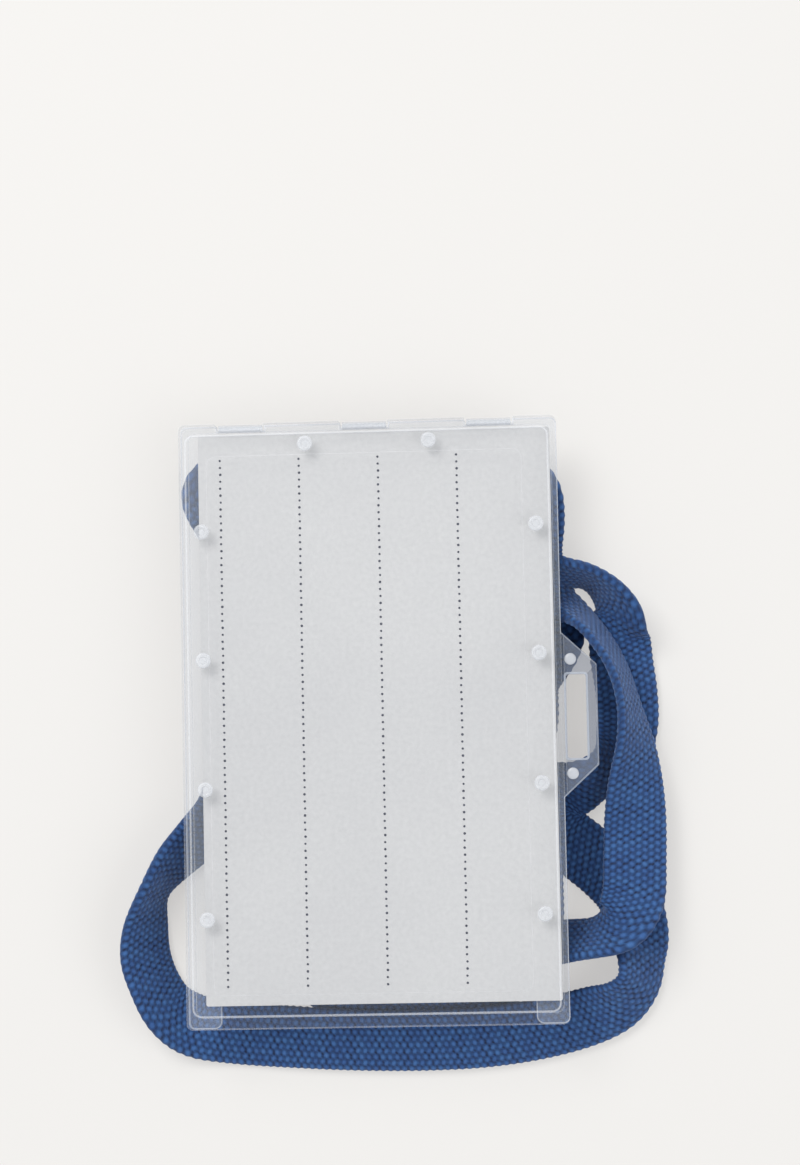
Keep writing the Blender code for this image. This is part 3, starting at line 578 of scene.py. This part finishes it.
# raised lip round the strap slot
lip_out, lip_in = rounded(30.25, 34.05, -6.75, 7.15, 0.6, 4), rounded(30.6, 33.7, -6.4, 6.8, 0.4, 4)
bm = bmesh.new()
loops_ = []
for pts, z in ((lip_out, HZ + 1.66), (lip_out, HZ + 1.82), (lip_in, HZ + 1.82), (lip_in, HZ + 1.66)):
    loops_.append([bm.verts.new((x, y, z)) for x, y in pts])
for a, b in zip(loops_, loops_[1:] + loops_[:1]):
    for k in range(len(a)):
        l = (k + 1) % len(a)
        bm.faces.new((a[k], a[l], b[l], b[k]))
lip = to_object(bevelled(bm, 0.05, 2), "slot_lip")
# the lip takes the lighter edge copy of the tab plastic as painted highlight
finish_mesh(lip, [TAB_EDGE_HIGHLIGHT])
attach(lip, "holder")

# front cover
r_ = rounded(-HW, HW, -HH, HH, 1.0, 6)
outline = r_[:14] + reliefs() + r_[14:]
cover = to_object(bevelled(prism(outline, CZ, CTOP), 0.24, 3), "holder_cover")
tools = [
    (bevelled(prism(rounded(-28.6, 29.2, -46.0, 46.5, 1.3), CZ - 1, CZ + 1.3), 0.15, 2, only=lambda e: min(v.co.z for v in e.verts) > CZ), "DIFFERENCE"),
    (prism([(HW - 0.9, -HH - 1), (HW + 1, -HH - 1), (HW + 1, HH + 1), (HW - 0.9, HH + 1)], CTOP - 0.5, CTOP + 1), "DIFFERENCE"),
    (bevelled(prism(rounded(-25.6, 24.5, -42.5, 42.6, 1.5), CTOP - 0.4, CTOP + 0.3), 0.26, 3, only=lambda e: min(v.co.z for v in e.verts) > CTOP), "UNION"),
]
combine(cover, tools)
finish_mesh(cover, [COVER, COVER_EDGE_HIGHLIGHT, COVER_SIDE_SHADE])
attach(cover, "cover")
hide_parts("holder_front_cover")
rings = [(s * 26.5, y) for s in (-1, 1) for y in (-30.6, -10.2, 10.2, 30.6)] + [(s * 9.8, 44.3) for s in (-1, 1)]
for i, (cx, cy) in enumerate(rings):
    t = CTOP
    prof = [(0.0, t + 0.02), (1.22, t + 0.02), (1.22, t + 0.14), (1.14, t + 0.26), (1.0, t + 0.33), (0.84, t + 0.35), (0.68, t + 0.30), (0.56, t + 0.18), (0.48, t + 0.08), (0.0, t + 0.06)]
    ring = to_object(turned(prof, 32, (cx, cy)), "pin_mark_%02d" % (i + 1))
    finish_mesh(ring, [RING])
    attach(ring, "cover")


def ridge(name, x0, x1, y0, y1, r, width, height, z, body, mat):
    """A fine raised line round a rounded rectangle."""
    bm = bmesh.new()
    rows = []
    for off, h in ((-width / 2, 0.0), (-width / 4, height * 0.8), (0.0, height), (width / 4, height * 0.8), (width / 2, 0.0)):
        rows.append([bm.verts.new((x, y, z + h)) for x, y in rounded(x0 - off, x1 + off, y0 - off, y1 + off, r + off, 8)])
    for a, b in zip(rows, rows[1:] + rows[:1]):
        for k in range(len(a)):
            l = (k + 1) % len(a)
            bm.faces.new((a[k], a[l], b[l], b[k]))
    ob = to_object(bm, name)
    finish_mesh(ob, [mat])
    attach(ob, body)
    return ob


# the contour line takes the lighter edge copy of the cover plastic as painted highlight
ridge("cover_contour_line", -28.9, 28.6, -45.7, 45.9, 1.3, 0.30, 0.10, CTOP - 0.01, "cover", COVER_EDGE_HIGHLIGHT)

# film hinges, bending from the back shell to the cover
for side, cx in zip(("left", "middle", "right"), HINGE_X):
    path = [(HH - 1.0, 9.75), (HH - 0.75, 9.72), (HH - 0.42, 9.80), (HH - 0.18, 10.00), (HH - 0.08, 10.35), (HH - 0.18, 10.70), (HH - 0.42, 10.92), (HH - 0.75, 11.0), (HH - 1.0, 11.0)]
    bm = bmesh.new()
    secs = []
    for i, (y, z) in enumerate(path):
        ya, za = path[max(0, i - 1)]
        yb, zb = path[min(len(path) - 1, i + 1)]
        d = Vector((0, yb - ya, zb - za)).normalized()
        nn = Vector((0, -d.z, d.y)) * 0.13
        w = HINGE_W / 2
        secs.append([bm.verts.new((cx + sx * w, y + sn * nn.y, z + sn * nn.z)) for sx, sn in ((-1, -1), (1, -1), (1, 1), (-1, 1))])
    for a, b in zip(secs[:-1], secs[1:]):
        for k in range(4):
            l = (k + 1) % 4
            bm.faces.new((a[k], a[l], b[l], b[k]))
    bm.faces.new(list(reversed(secs[0])))
    bm.faces.new(secs[-1])
    ob = to_object(bm, "hinge_film_" + side)
    finish_mesh(ob, [FILM])
    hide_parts("film_hinge_" + side)
    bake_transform(ob)

# ---------------------------------------------------------------- paper insert with its dotted tear lines
card = NODES["insert_card"]
card.data.materials.clear()
card.data.materials.append(PAPER)
bm = bmesh.new()
for dx in (3.5, 16.1, 28.7, 41.2):
    x = -27.1 + dx
    y, k = 46.1 - 4.0, 0
    while y > -44.15 + 2.0:
        r = 0.20 + 0.02 * math.sin(k * 2.3 + dx)
        jx = 0.03 * math.sin(k * 1.7 + dx * 3)
        low = [bm.verts.new((x + jx + r * math.cos(a), y + r * math.sin(a), 10.79)) for a in (q * math.pi / 5 for q in range(10))]
        high = [bm.verts.new((x + jx + r * 0.9 * math.cos(a), y + r * 0.9 * math.sin(a), 10.85)) for a in (q * math.pi / 5 for q in range(10))]
        bm.faces.new(list(reversed(low)))
        bm.faces.new(high)
        for q in range(10):
            w = (q + 1) % 10
            bm.faces.new((low[q], low[w], high[w], high[q]))
        y -= 1.11
        k += 1
dots = to_object(bm, "insert_dotted_lines")
finish_mesh(dots, [INK])
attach(dots, "card")


# ---------------------------------------------------------------- plated hardware, from the frame's own solids with worked edges
def worked(name, width, mat, body, segments=3, angle=28.0):
    src = NODES[name]
    bm = bmesh.new()
    bm.from_mesh(src.data)
    bmesh.ops.remove_doubles(bm, verts=bm.verts, dist=2e-6)
    bmesh.ops.dissolve_limit(bm, angle_limit=math.radians(1.5), verts=bm.verts, edges=bm.edges)
    edges = [e for e in bm.edges if len(e.link_faces) == 2 and e.calc_face_angle(0.0) > math.radians(angle)]
    if width:
        bmesh.ops.bevel(bm, geom=edges, offset=width * MM, offset_type="OFFSET", segments=segments, profile=0.5, affect="EDGES", clamp_overlap=True)
    me = bpy.data.meshes.new(name + "_metal")
    bm.to_mesh(me)
    bm.free()
    me.materials.append(mat)
    me.shade_smooth()
    me.set_sharp_from_angle(angle=math.radians(40))
    ob = link(bpy.data.objects.new(name + "_metal", me))
    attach(ob, body)
    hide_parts(name)
    return ob


worked("hook_body", 0.28, NICKEL, "snap_hook")
worked("hook_gate", 0.18, NICKEL, "gate")
worked("strap_crimp", 0.16, CRIMP, "strap")
worked("swivel_stud", 0.10, STEEL, "strap")
worked("gate_pin", 0.08, STEEL, "snap_hook")
spring = NODES["gate_spring"]
spring.data.materials.clear()
spring.data.materials.append(STEEL)

# ---------------------------------------------------------------- floor, light
bm = bmesh.new()
bmesh.ops.create_grid(bm, x_segments=40, y_segments=40, size=0.9)
me = bpy.data.meshes.new("floor")
bm.to_mesh(me)
bm.free()
floor = link(bpy.data.objects.new("floor", me))
mat, nt, b = new_material("pale_floor")
b.inputs["Base Color"].default_value = (0.30, 0.297, 0.292, 1.0)
b.inputs["Roughness"].default_value = 0.9
b.inputs["Emission Color"].default_value = (1.0, 0.975, 0.945, 1.0)
b.inputs["Emission Strength"].default_value = 0.50
me.materials.append(mat)

world = bpy.data.worlds.new("studio")
bpy.context.scene.world = world
world.use_nodes = True
bg = world.node_tree.nodes["Background"]
bg.inputs[0].default_value = (0.97, 0.985, 1.0, 1.0)
bg.inputs[1].default_value = 0.62


def area(name, loc, target, size, energy, colour=(1, 1, 1)):
    d = bpy.data.lights.new(name, "AREA")
    d.shape = "SQUARE"
    d.size = size
    d.energy = energy
    d.color = colour
    ob = link(bpy.data.objects.new(name, d))
    ob.location = loc
    ob.rotation_euler = (Vector(target) - Vector(loc)).to_track_quat("-Z", "Y").to_euler()
    return ob


area("key", (-0.35, 0.45, 0.75), (0, 0, 0), 0.45, 6.0, (1.0, 0.99, 0.97))
area("fill", (0.55, -0.25, 0.60), (0, 0, 0), 0.60, 2.4, (0.96, 0.98, 1.0))
bpy.context.scene.view_settings.view_transform = "Standard"
